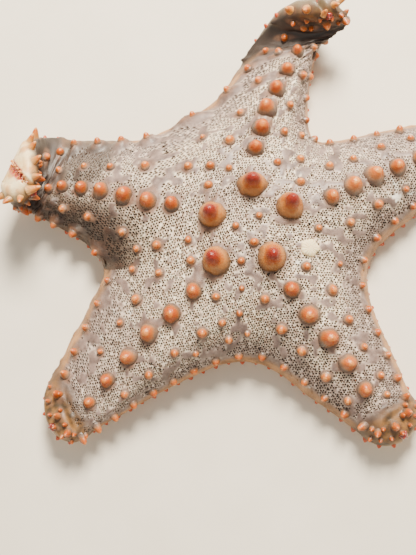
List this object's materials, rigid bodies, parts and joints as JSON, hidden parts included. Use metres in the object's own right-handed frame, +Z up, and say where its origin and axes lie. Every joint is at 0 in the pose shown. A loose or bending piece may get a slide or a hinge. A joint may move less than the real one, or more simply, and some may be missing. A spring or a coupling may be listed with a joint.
{
  "type": "cushion star (sea star)",
  "caption": "Still life-size cushion star with an inflated disc, stubby arms with curled tips, and rows of blunt orange tubercles.",
  "frame": {"origin": "on the floor, under the middle of the bounding box", "axes": "+Z up; +Y towards the back arm, whose tip curls up; +X to the right as seen from the front"},
  "size_m": [0.217, 0.195, 0.0404],
  "materials": {
    "body_skin": "wet, finely pitted grey skin with orange tubercles",
    "tip_skin": "wet, wrinkled brown skin with orange spines",
    "sieve_plate": "chalky cream, finely grooved",
    "mouth_membrane": "soft pink membrane",
    "eyespot": "wet dark red"
  },
  "bodies": {
    "root": {"disc": "body_skin", "arm_back": "body_skin", "arm_back_tip": "tip_skin", "arm_left": "body_skin", "arm_left_tip": "tip_skin", "arm_front_left": "body_skin", "arm_front_left_tip": "tip_skin", "arm_front_right": "body_skin", "arm_front_right_tip": "tip_skin", "arm_right": "body_skin", "arm_right_tip": "tip_skin", "madreporite": "sieve_plate", "mouth": "mouth_membrane", "eyespot_back": "eyespot", "eyespot_left": "eyespot", "eyespot_front_left": "eyespot", "eyespot_front_right": "eyespot", "eyespot_right": "eyespot"}
  },
  "joints": []
}
